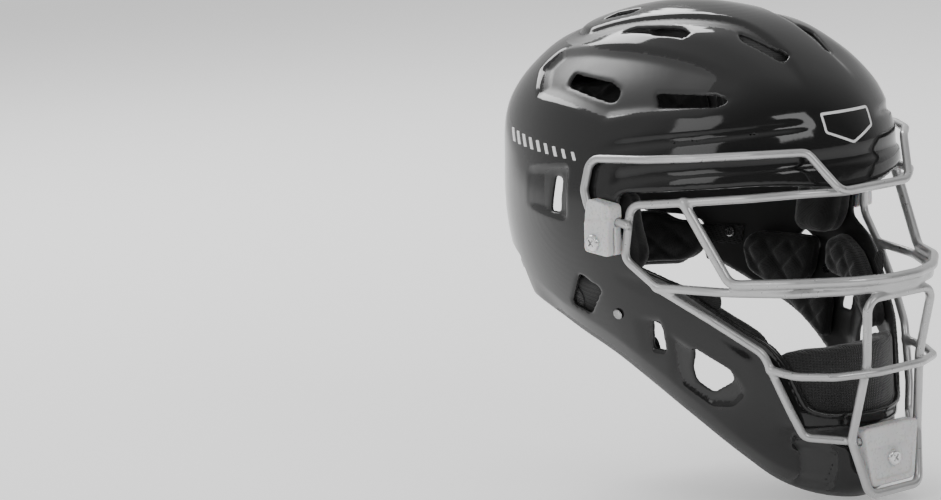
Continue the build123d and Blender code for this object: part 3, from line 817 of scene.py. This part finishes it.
# Corners of the wires' left half, each with its bend radius, as in the model
BROW_SIDE = [(108.5, -54.3, 18.2, 0), (111.9, -39, 22.3, 40), (113.9, -26.2, 26.6, 6)]
BROW_SIDE += [(113.7, -22.4, 38.6, 10), (110.5, -26, 58, 9), (104, -66, 59, 40), (91, -94, 60, 40)]
BROW_SIDE += [(67, -125, 61, 40), (43, -145.5, 61, 7), (30, -160.8, 36.5, 9)]
FRAME_SIDE = [(22, -156, 35, 20), (48, -144, 36, 40), (72, -123, 35, 40), (94, -89, 33, 40)]
FRAME_SIDE += [(104, -53, 30, 8), (107, -49, -3, 9), (99, -68, -20.5, 20), (81.5, -96, -41, 40)]
FRAME_SIDE += [(63.5, -121.5, -62, 14), (53.5, -133, -98, 30), (47, -137.5, -115, 7), (24, -160.5, -119, 12)]
EYE_SIDE = [(94, -89, 33, 0), (84, -116.5, -17, 9), (62, -150, -16.5, 40), (34, -174, -17, 40)]
EYE_SIDE += [(12, -181.5, -17.5, 25)]
CHEEK_SIDE = [(99, -68, -20.5, 0), (84, -112, -22, 60), (62, -146, -23, 40), (34, -171, -23, 40)]
CHEEK_SIDE += [(12, -179, -22.9, 25)]
CHIN_SIDE = [(29, -178, -28.3, 8), (23.5, -170, -70, 30), (29.5, -160.5, -117.5, 14), (22, -167, -152, 7)]
MOUTH_SIDE = [(61, -124.5, -72, 0), (58, -143, -75, 20), (44, -163, -75.5, 14), (20, -175, -75, 25)]
WIRES = {
    "brow": (BROW_SIDE, BAR, False),
    "frame": (FRAME_SIDE, BAR, True),
    "eye": (EYE_SIDE, HEAVY_BAR, False),
    "cheek": (CHEEK_SIDE, CHIN_BAR, False),
    "chin": (CHIN_SIDE, CHIN_BAR, True),
    "mouth": (MOUTH_SIDE, BAR, False),
}
CAGE_STEP = 1.0
CAGE_LOW = (CAGE_STEP / 2, -189, -160)
CAGE_HIGH = (118, -8, 68)
CAGE_BAND = 6
ARC_PITCH = 2  # length of the straight pieces that an arc is made of
BLOCK = 24  # length of wire worked out at a time


def wire_line(side_corners, closed):
    """Centre line of a bar, from its corners and bend radii: straight runs joined by arcs."""
    other = [(-x, y, z, bend) for x, y, z, bend in reversed(side_corners)]
    corners = list(side_corners) + other
    places = [Vector(c[:3]) for c in corners]
    line = []
    for i, corner in enumerate(places):
        bend = corners[i][3]
        before = places[i - 1]
        after = places[(i + 1) % len(places)]
        if not bend or (not closed and i in (0, len(places) - 1)):
            line.append(corner)
            continue
        back = (before - corner).normalized()
        ahead = (after - corner).normalized()
        half_turn = (math.pi - back.angle(ahead)) / 2
        reach = bend * math.tan(half_turn)
        centre = corner + (back + ahead).normalized() * (bend / math.cos(half_turn))
        start = (corner + back * reach - centre).normalized()
        end = (corner + ahead * reach - centre).normalized()
        steps = max(2, round(2 * half_turn * bend / ARC_PITCH))
        for step in range(steps + 1):
            line.append(centre + start.slerp(end, step / steps) * bend)
    if closed:
        line.append(line[0])
    return [p for i, p in enumerate(line) if i == 0 or (p - line[i - 1]).length > 1e-4]


def tube_distance(values, low, step, line, radius, reach=7):
    """Lowers the values near a line to the distance from a tube round it."""
    size = np.array(values.shape)
    for a, b in zip(line, line[1:]):
        a = np.array(a)
        b = np.array(b)
        pieces = max(1, math.ceil(np.linalg.norm(b - a) / BLOCK))
        for p in range(pieces):
            start = a + (b - a) * p / pieces
            end = a + (b - a) * (p + 1) / pieces
            lowest = (np.minimum(start, end) - radius - reach - low) / step
            highest = (np.maximum(start, end) + radius + reach - low) / step
            first = np.clip(np.floor(lowest).astype(int), 0, size)
            last = np.clip(np.ceil(highest).astype(int), 0, size)
            if np.any(last <= first):
                continue
            block = tuple(slice(i, j) for i, j in zip(first, last))
            x, y, z = (low[n] + step * np.arange(first[n], last[n]) for n in range(3))
            to = (x[:, None, None] - start[0], y[None, :, None] - start[1], z[None, None, :] - start[2])
            way = end - start
            length = way @ way
            t = np.clip(sum(c * w for c, w in zip(to, way)) / length, 0, 1)
            gap = np.sqrt(sum((c - t * w) ** 2 for c, w in zip(to, way))) - radius
            values[block] = np.minimum(values[block], gap)


def build_cage():
    axes, (x, _, _) = make_grid(CAGE_LOW, CAGE_HIGH, CAGE_STEP)
    cage = np.full(x.shape, CAGE_BAND, np.float32)
    for corners, radius, closed in WIRES.values():
        bar = np.full(x.shape, CAGE_BAND, np.float32)
        tube_distance(bar, np.array(CAGE_LOW), CAGE_STEP, wire_line(corners, closed), radius)
        cage = smooth_min(cage, bar, WELD)
    piece, _ = add_surface("welded_cage", field_of(cage, axes, CAGE_STEP, middle=True), CAGE)
    declare(piece, "cage", "helmet", *[f"cage_{name}_bar" for name in WIRES])


build_shell()
build_back_plate()
build_cage()

# ---------------------------------------------------------------- pads
PAD_START = 4.5  # depth of the face towards the wall
THIN_PAD = 12.4
PAD = 16
THICK_PAD = 22.6
PAD_STEP = 1.25
CROWN = 13  # how far in from its edge a pad goes on thickening
SCREW = (-34, 7.3)
NUT_POCKET = 8
POCKET_FLOOR = 99.4
TUFT = 2.6  # how far the sewn lines are drawn in
SEAM = 1.5
CORD = 1.5  # radius of the piping
ROUND_FORM = 95  # radius that lengths round the head are measured on
ROUND_MIDDLE = 8
# Outlines of the pads, from the side
TEMPLE = [(-45, 36), (-45, -6), (-38, -15), (-14, -15), (-8, -10), (-8, 36)]
CHEEK = [(-36, -18), (-50, -15), (-70, -23), (-90, -38), (-107, -52), (-111, -60), (-106, -66), (-98, -64)]
CHEEK += [(-80, -54), (-62, -41), (-46, -40), (-38, -36)]
EAR = [(-22, -19), (30, -19), (35, -28), (28, -43), (8, -51), (-14, -51), (-22, -44)]
JAW = [(-30, -53), (-44, -55), (-45, -83), (-12, -65), (0, -57), (-12, -55)]
UPPER_SIDE = [(-54, 50), (54, 50), (56, 66), (46, 84), (-44, 84), (-54, 72)]
FOREHEAD = [(-62, 46), (-175, 46), (-175, 82), (-62, 82)]
REAR = [(64, 52), (160, 52), (160, 84), (64, 84)]
CHIN = [(-118, -64), (-172, -60), (-172, -107), (-136, -107), (-124, -84)]
PLATE_SIDE = [(60, -20), (66, -13.5), (80, -11.5), (87, -5.5), (160, -4.5), (160, -38), (66, -38), (60, -32)]
# Outline of the crown's pad, from above
CROWN_TOP = [(0, -104), (34, -104), (46, -80), (42, -50), (38, -6), (20, 10), (18, 60), (0, 60)]
CROWN_TOP += [(-x, y) for x, y in reversed(CROWN_TOP[1:-1])]


RIPPLES = 9


def ripple(x, y, z, seed, size):
    """Small smooth unevenness of sewn cloth."""
    rng = np.random.default_rng(seed)
    total = 0
    for _ in range(RIPPLES):
        way = rng.normal(size=3)
        way *= rng.uniform(0.12, 0.4) / np.linalg.norm(way)
        total = total + np.sin(x * way[0] + y * way[1] + z * way[2] + rng.uniform(0, 6.28))
    return total * size / math.sqrt(RIPPLES)


def quilt(u, v, spacing, diamond):
    """0 along the sewn lines to 1 between them."""
    lines = ((u + v) * 0.7071, (u - v) * 0.7071) if diamond else (u,)
    puff = 1
    for line in lines:
        away = spacing * (0.5 - np.abs(line / spacing - np.floor(line / spacing) - 0.5))
        stitch = 1 - 0.75 * np.exp(-((away / 1.7) ** 2))
        puff = puff * stitch * (0.72 + 0.28 * np.sqrt(np.clip(2 * away / spacing, 0, 1)))
    return puff


def pad_field(seed, outline, thickness, low, high, start=PAD_START, from_top=False, middle=False,
              spacing=0, diamond=False, piping=False, pocket=False, seams=()):
    """Field of a crowned pad that lies on the form's inside within an outline."""
    axes, (x, y, z) = make_grid(low, high, PAD_STEP, middle)
    depth = -form_at(x, y, z)
    if from_top:
        along, up = x, y
        edge = over_plane(outline, 9, axes, 0, 1) + 0 * z
    else:
        along = ROUND_FORM * np.arctan2(x, np.abs(y + ROUND_MIDDLE)) if middle else y
        up = z
        edge = over_plane(outline, 7, axes, 1, 2) + 0 * x
    rise = 1 - np.clip(-edge / CROWN, 0, 1)
    full = thickness * (0.62 + 0.38 * np.sqrt(1 - rise * rise))
    if spacing:
        full = full - (1 - quilt(along, up, spacing, diamond)) * TUFT * smooth_step(-edge, 1, 6)
    for height in seams:
        full = full - SEAM * np.exp(-((z - height) ** 2))
    full = full + ripple(x, y, z, seed, 0.45)
    mid = start + thickness * 0.42
    side = edge + 0.9 * np.exp(-(((depth - mid) / 0.9) ** 2)) + ripple(x, y, z, seed + 50, 0.3)
    pad = smooth_max(smooth_max(depth - start - full, start - depth, 2.5), side, 5.5)
    if piping:
        cord = np.hypot(edge + 1.6, depth - start - full + 1.4) - CORD
        pad = smooth_min(pad, cord, 0.6)
    if pocket:
        hole = np.maximum(np.hypot(y - SCREW[0], z - SCREW[1]) - NUT_POCKET, POCKET_FLOOR - x)
        pad = smooth_max(pad, -hole, 1)
    return field_of(pad, axes, PAD_STEP, middle)


def declare_pad(piece, node, slot="pad", body="helmet"):
    declare(piece, slot, body, node)


def build_pads():
    sewn = dict(diamond=True, piping=True)
    # name, outline, thickness, lowest and highest corner of the grid, and what is special
    side_pads = (
        ("temple_pad", TEMPLE, THICK_PAD, (70, -52, -20), (112, -2, 42), dict(pocket=True, piping=True)),
        ("cheek_pad", CHEEK, PAD, (28, -118, -70), (106, -30, -9), dict(spacing=12, **sewn)),
        ("ear_pad", EAR, PAD, (66, -28, -57), (108, 41, -13), dict(spacing=14, **sewn)),
        ("jaw_pad", JAW, THIN_PAD, (54, -50, -88), (100, 6, -48), dict(spacing=12, diamond=True)),
        ("upper_side_pad", UPPER_SIDE, PAD, (50, -60, 44), (112, 62, 90), dict(spacing=24)),
    )
    for seed, (name, outline, thickness, low, high, more) in enumerate(side_pads):
        field = pad_field(seed, outline, thickness, low, high, **more)
        left, _ = add_surface(f"{name}_left_cushion", field, LINING)
        right = mirror_object(left, f"{name}_right_cushion")
        declare_pad(left, f"{name}_left")
        declare_pad(right, f"{name}_right")
    middle_pads = (
        ("forehead_pad", FOREHEAD, PAD, (0, -148, 41), (110, -56, 88), dict(spacing=27)),
        ("rear_pad", REAR, PAD, (0, 58, 47), (104, 134, 90), dict(spacing=13, diamond=True)),
        ("chin_pad", CHIN, THICK_PAD, (0, -156, -113), (72, -112, -56), dict(seams=(-77, -93))),
        ("back_plate_pad", PLATE_SIDE, THIN_PAD, (0, 54, -44), (98, 124, 1),
         dict(start=11.3, spacing=13, **sewn)),
    )
    for seed, (name, outline, thickness, low, high, more) in enumerate(middle_pads):
        field = pad_field(seed + 10, outline, thickness, low, high, middle=True, **more)
        chin = name == "chin_pad"
        piece, _ = add_surface(f"{name}_cushion", field, MESH_CLOTH if chin else LINING)
        body = "rear_plate" if name == "back_plate_pad" else "helmet"
        declare_pad(piece, name, "mesh_pad" if chin else "pad", body)
    crown = dict(from_top=True, middle=True, spacing=20)
    field = pad_field(30, CROWN_TOP, PAD, (0, -110, 74), (52, 66, 142), **crown)
    piece, _ = add_surface("crown_pad_cushion", field, LINING)
    declare_pad(piece, "crown_pad")


# ---------------------------------------------------------------- straps and discs
LEVELLING_ROUNDS = 10
LEAST_SLOPE = 0.2
LONGEST_MOVE = 9


def settle_along(points, way, depth):
    """Moves points of the left half along a direction until they lie that deep under the plain form."""
    way = np.array(way, float)
    for _ in range(LEVELLING_ROUNDS):
        slope = form_reader.slope(points) @ way
        slope = np.where(np.abs(slope) < LEAST_SLOPE, LEAST_SLOPE * np.sign(slope + 1e-9), slope)
        move = np.clip((form_reader.at(points) + depth) / slope, -LONGEST_MOVE, LONGEST_MOVE)
        points = points - move[:, None] * way
    return points


def ring_faces(rings, around, first=0):
    """Faces through rings of points, one after another, capped at both ends."""
    faces = []
    for i in range(first, first + (rings - 1) * around, around):
        for j in range(around):
            k = (j + 1) % around
            faces.append((i + j, i + around + j, i + around + k, i + k))
    faces.append(tuple(first + j for j in range(around)))
    faces.append(tuple(first + (rings - 1) * around + j for j in reversed(range(around))))
    return faces


STATIONS = 56
ACROSS = 57
STRAP_OUTER = 3.75  # depths of the faces
STRAP_INNER = 5.1
RIBS = 7
RIB = 0.16
SELVEDGE = 0.3
CREPE = 0.012  # how much every second row is narrower
SIDE_GUESS = 82  # where the points are settled from
REAR_GUESS = 122


def build_strap(name, ends, half_width, level, along_axis, solve_way):
    """Elastic strap: its length runs along one axis between ends, its width across level."""
    fine = np.linspace(-1, 1, ACROSS)
    relief_in = RIB * np.abs(np.sin(math.pi * RIBS * fine)) + SELVEDGE * fine**12
    outer = np.stack([fine * half_width, STRAP_OUTER + relief_in], 1)
    inner = np.stack([fine * half_width, STRAP_INNER - relief_in], 1)
    profile = np.concatenate([outer, inner[::-1]])
    loops = []
    for n, station in enumerate(np.linspace(*ends, STATIONS)):
        squeeze = 1 - CREPE * (n % 2)
        points = np.zeros((len(profile), 3))
        points[:, along_axis] = station
        if along_axis == 1:
            points[:, 2] = level + profile[:, 0] * squeeze
            points[:, 0] = SIDE_GUESS
        else:
            points[:, 0] = level + profile[:, 0] * squeeze
            points[:, 1] = REAR_GUESS
        loops.append(settle_along(points, solve_way, profile[:, 1]))
    faces = ring_faces(STATIONS, len(profile))
    left = add_object(f"{name}_left_webbing", np.concatenate(loops), faces, WEBBING)
    right = mirror_object(left, f"{name}_right_webbing")
    for piece, side in ((left, "left"), (right, "right")):
        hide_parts(f"{name}_{side}")
        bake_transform(piece)


# A place on the line that each disc is settled along, and the line's way outwards
DISCS = [
    ((0, -25, 26), (1, 0, 0)),
    ((0, -58, -30), (1, -0.4, 0)),
    ((0, 14, -34), (1, 0, 0)),
    ((0, -30, 66), (1, 0, 0)),
    ((0, 30, 66), (1, 0, 0)),
    ((30, 0, 64), (0.25, -1, 0)),
    ((28, 0, 68), (0.2, 1, 0)),
]
DISC = 9
DISC_SIDES = 40
# Radius and depth, from the middle of the outer face to the middle of the inner face
DISC_PROFILE = [(0.2, 3.7), (4, 3.7), (8.2, 3.7), (DISC - 0.2, 3.8), (DISC, 4.1), (DISC - 0.3, 4.35)]
DISC_PROFILE += [(8, 4.4), (4, 4.4), (0.2, 4.4)]
DISC_GUESS = 90  # how far out the points are settled from


def build_discs():
    """Round hook-and-loop discs, slightly uneven, between the wall and the pads."""
    vertices = []
    faces = []
    turn = np.arange(DISC_SIDES) * math.tau / DISC_SIDES
    for place, way in DISCS:
        way = Vector(way).normalized()
        side = way.cross(Vector((0, 0, 1))).normalized()
        up = side.cross(way)
        rings = ring_faces(len(DISC_PROFILE), DISC_SIDES, len(vertices) * DISC_SIDES)
        faces += [face[::-1] for face in rings]
        for radius, depth in DISC_PROFILE:
            wobble = radius * (1 + 0.006 * np.sin(turn * 9 + place[1]))
            points = np.array(place) + np.array(way) * DISC_GUESS
            points = points + np.outer(wobble * np.cos(turn), side) + np.outer(wobble * np.sin(turn), up)
            vertices.append(settle_along(points, way, depth))
    vertices = np.concatenate(vertices)
    both = faces + [[len(vertices) + i for i in reversed(face)] for face in faces]
    piece = add_object("hook_disc_set", np.concatenate([vertices, vertices * (-1, 1, 1)]), both, WEBBING)
    declare(piece, "hook", "helmet", "hook_discs")


# ---------------------------------------------------------------- clips
SIDE_CLIP = [(-29, 34.3), (-48.4, 31), (-48.4, 21.5), (-46.4, 15), (-46.4, -1), (-25, 1.2), (-26, 24)]
SIDE_CLIP_FACE = 118.6
CHIN_CLIP = [(24, -111), (19, -148), (-19, -148), (-24, -111)]
CHIN_CLIP_BACK = -157.6
CHIN_CLIP_FACE = -167.1
CHIN_SCREW_HEIGHT = -132
CLIP_STEP = 0.62
SCREW_HOLE = 2.5
HEAD_RECESS = 6.4
CHIN_HEAD_RECESS = 6.6
TAB_STEP = 0.9  # how far the clips' faces are stepped back
TAB_RIDGE = (-43.4, 1.7)  # depth and half width of the ridge beside the screw
LEAF_GAP = (112.6, 0.6)
WIRE_PLAY = 0.25
SIDE_CLIP_LOW = (99.0, -52.0, -8.0)
SIDE_CLIP_HIGH = (121, -8, 38)
CHIN_CLIP_LOW = (CLIP_STEP / 2, -170.0, -151.0)
CHIN_CLIP_HIGH = (27, -154, -108)
CHIN_PANEL = [(18.5, -124), (15.5, -144), (-15.5, -144), (-18.5, -124)]


def without_wire(body, low, line):
    """A clip's field less the wire that it holds."""
    wire = np.full(body.shape, 9, np.float32)
    tube_distance(wire, np.array(low), CLIP_STEP, line, BAR + WIRE_PLAY, reach=5)
    return smooth_max(body, -wire, 0.4)


def build_side_clips():
    axes, (x, y, z) = make_grid(SIDE_CLIP_LOW, SIDE_CLIP_HIGH, CLIP_STEP)
    from_screw = np.hypot(y - SCREW[0], z - SCREW[1])
    body = smooth_max(over_plane(SIDE_CLIP, 3, axes, 1, 2) + 0 * x, x - SIDE_CLIP_FACE, 1.2)
    # the lower tab is stepped back a little from the block that holds the wire
    line = (z - 21.5) * 0.97 + (y + 36) * 0.14
    tab = smooth_max(-line, SIDE_CLIP_FACE - TAB_STEP - x, 0.5)
    tab = smooth_max(tab, TAB_RIDGE[1] - np.abs(y - TAB_RIDGE[0]), 0.4)
    tab = smooth_max(tab, HEAD_RECESS - from_screw, 0.3)
    body = smooth_max(body, -tab, 0.5)
    # gap between the clip's two leaves, open towards the face
    leaf = np.maximum(np.abs(x - LEAF_GAP[0]) - LEAF_GAP[1], np.maximum(y + 42.5, z - 17))
    body = smooth_max(body, -leaf, 0.4)
    body = without_wire(body, SIDE_CLIP_LOW, wire_line(BROW_SIDE, False)[:40])
    body = smooth_max(body, SCREW_HOLE - from_screw, 0.3)
    body = smooth_max(body, 0.35 - form_at(x, y, z), 0.3)
    left, _ = add_surface("side_clip_left_moulding", field_of(body, axes, CLIP_STEP), CLIP)
    right = mirror_object(left, "side_clip_right_moulding")
    declare(left, "clip", "helmet", "side_clip_left")
    declare(right, "clip", "helmet", "side_clip_right")


def build_chin_clip():
    axes, (x, y, z) = make_grid(CHIN_CLIP_LOW, CHIN_CLIP_HIGH, CLIP_STEP)
    from_screw = np.hypot(x, z - CHIN_SCREW_HEIGHT)
    body = smooth_max(over_plane(CHIN_CLIP, 4, axes, 0, 2) + 0 * y, CHIN_CLIP_FACE - y, 1.6)
    dish = smooth_max(over_plane(CHIN_PANEL, 3, axes, 0, 2) + 0 * y, y - CHIN_CLIP_FACE - TAB_STEP, 0.5)
    dish = smooth_max(dish, CHIN_HEAD_RECESS - from_screw, 0.3)
    body = smooth_max(body, -dish, 0.5)
    body = smooth_max(body, y - CHIN_CLIP_BACK, 0.5)
    body = without_wire(body, CHIN_CLIP_LOW, wire_line(FRAME_SIDE, True))
    body = smooth_max(body, SCREW_HOLE - from_screw, 0.3)
    piece, _ = add_surface("chin_clip_moulding", field_of(body, axes, CLIP_STEP, middle=True), CLIP)
    declare(piece, "clip", "helmet", "chin_clip")


# ---------------------------------------------------------------- prints
PRINT_STEP = 0.4
PLATE_MARK = [(-20, 81), (20, 81), (20, 70), (0, 62), (-20, 70)]
PLATE_MARK_LINE = 0.85
PRINT_THICKNESS = 1.2
DASHES = 9
DASH = 2.3  # half width of the first dash
DASH_HEIGHT = 4.2  # half height of the first dash
DASH_PITCH = 9.2
DASH_START = (66, 64.6)  # depth and height of the first dash
DASH_FALL = 0.85
DASH_SLANT = 0.55


def print_piece(name, low, high, inside, middle=False):
    """Thin raised print on the moulded skin where inside, a field over the grid, is negative."""
    axes, (x, y, z) = make_grid(low, high, PRINT_STEP, middle)
    skin = form_at(x, y, z) + relief(x.ravel(), y.ravel(), z.ravel()).reshape(x.shape)
    body = smooth_max(np.abs(skin + 0.35) - PRINT_THICKNESS / 2, inside(x, y, z), 0.3)
    piece, _ = add_surface(name, field_of(body, axes, PRINT_STEP, middle), PRINT)
    return piece


def plate_mark(x, y, z):
    """Outline of a plain five-sided plate."""
    return np.abs(outline_distance(rounded(PLATE_MARK, 1.2), x, z)) - PLATE_MARK_LINE


def dash_row(x, y, z):
    """Row of slanting dashes that shrink towards the face."""
    row = np.full(x.shape, 99.0)
    for n in range(DASHES):
        rise = z - (DASH_START[1] - n * DASH_FALL)
        slant = y - (DASH_START[0] - n * DASH_PITCH) - rise * DASH_SLANT
        dash = np.maximum(np.abs(slant) - DASH * (1 - 0.045 * n), np.abs(rise) - DASH_HEIGHT + 0.2 * n)
        row = np.minimum(row, dash)
    return row


def build_prints():
    mark = print_piece("brow_mark", (0, -146, 59), (23, -128, 84), plate_mark, middle=True)
    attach(mark, "helmet")
    left = print_piece("side_dashes_left", (80, -16, 51), (111, 76, 71), dash_row)
    right = mirror_object(left, "side_dashes_right")
    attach(left, "helmet")
    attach(right, "helmet")


build_pads()
build_strap("side_strap", (44, 94), 6, -23, 1, (1, 0, 0))
build_strap("top_strap", (48, -26), 8, 26, 2, (0, 1, 0))
build_discs()
build_side_clips()
build_chin_clip()
build_prints()

# ---------------------------------------------------------------- carried-over pieces
FASTENERS = {
    "clip_screws": METAL,
    "clip_nuts": METAL,
    "jaw_rivets": RIVET_METAL,
    "shell_strap_studs": RIVET_METAL,
    "plate_strap_rivets": RIVET_METAL,
}
for name, material in FASTENERS.items():
    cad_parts[name].data.materials.clear()
    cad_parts[name].data.materials.append(material)
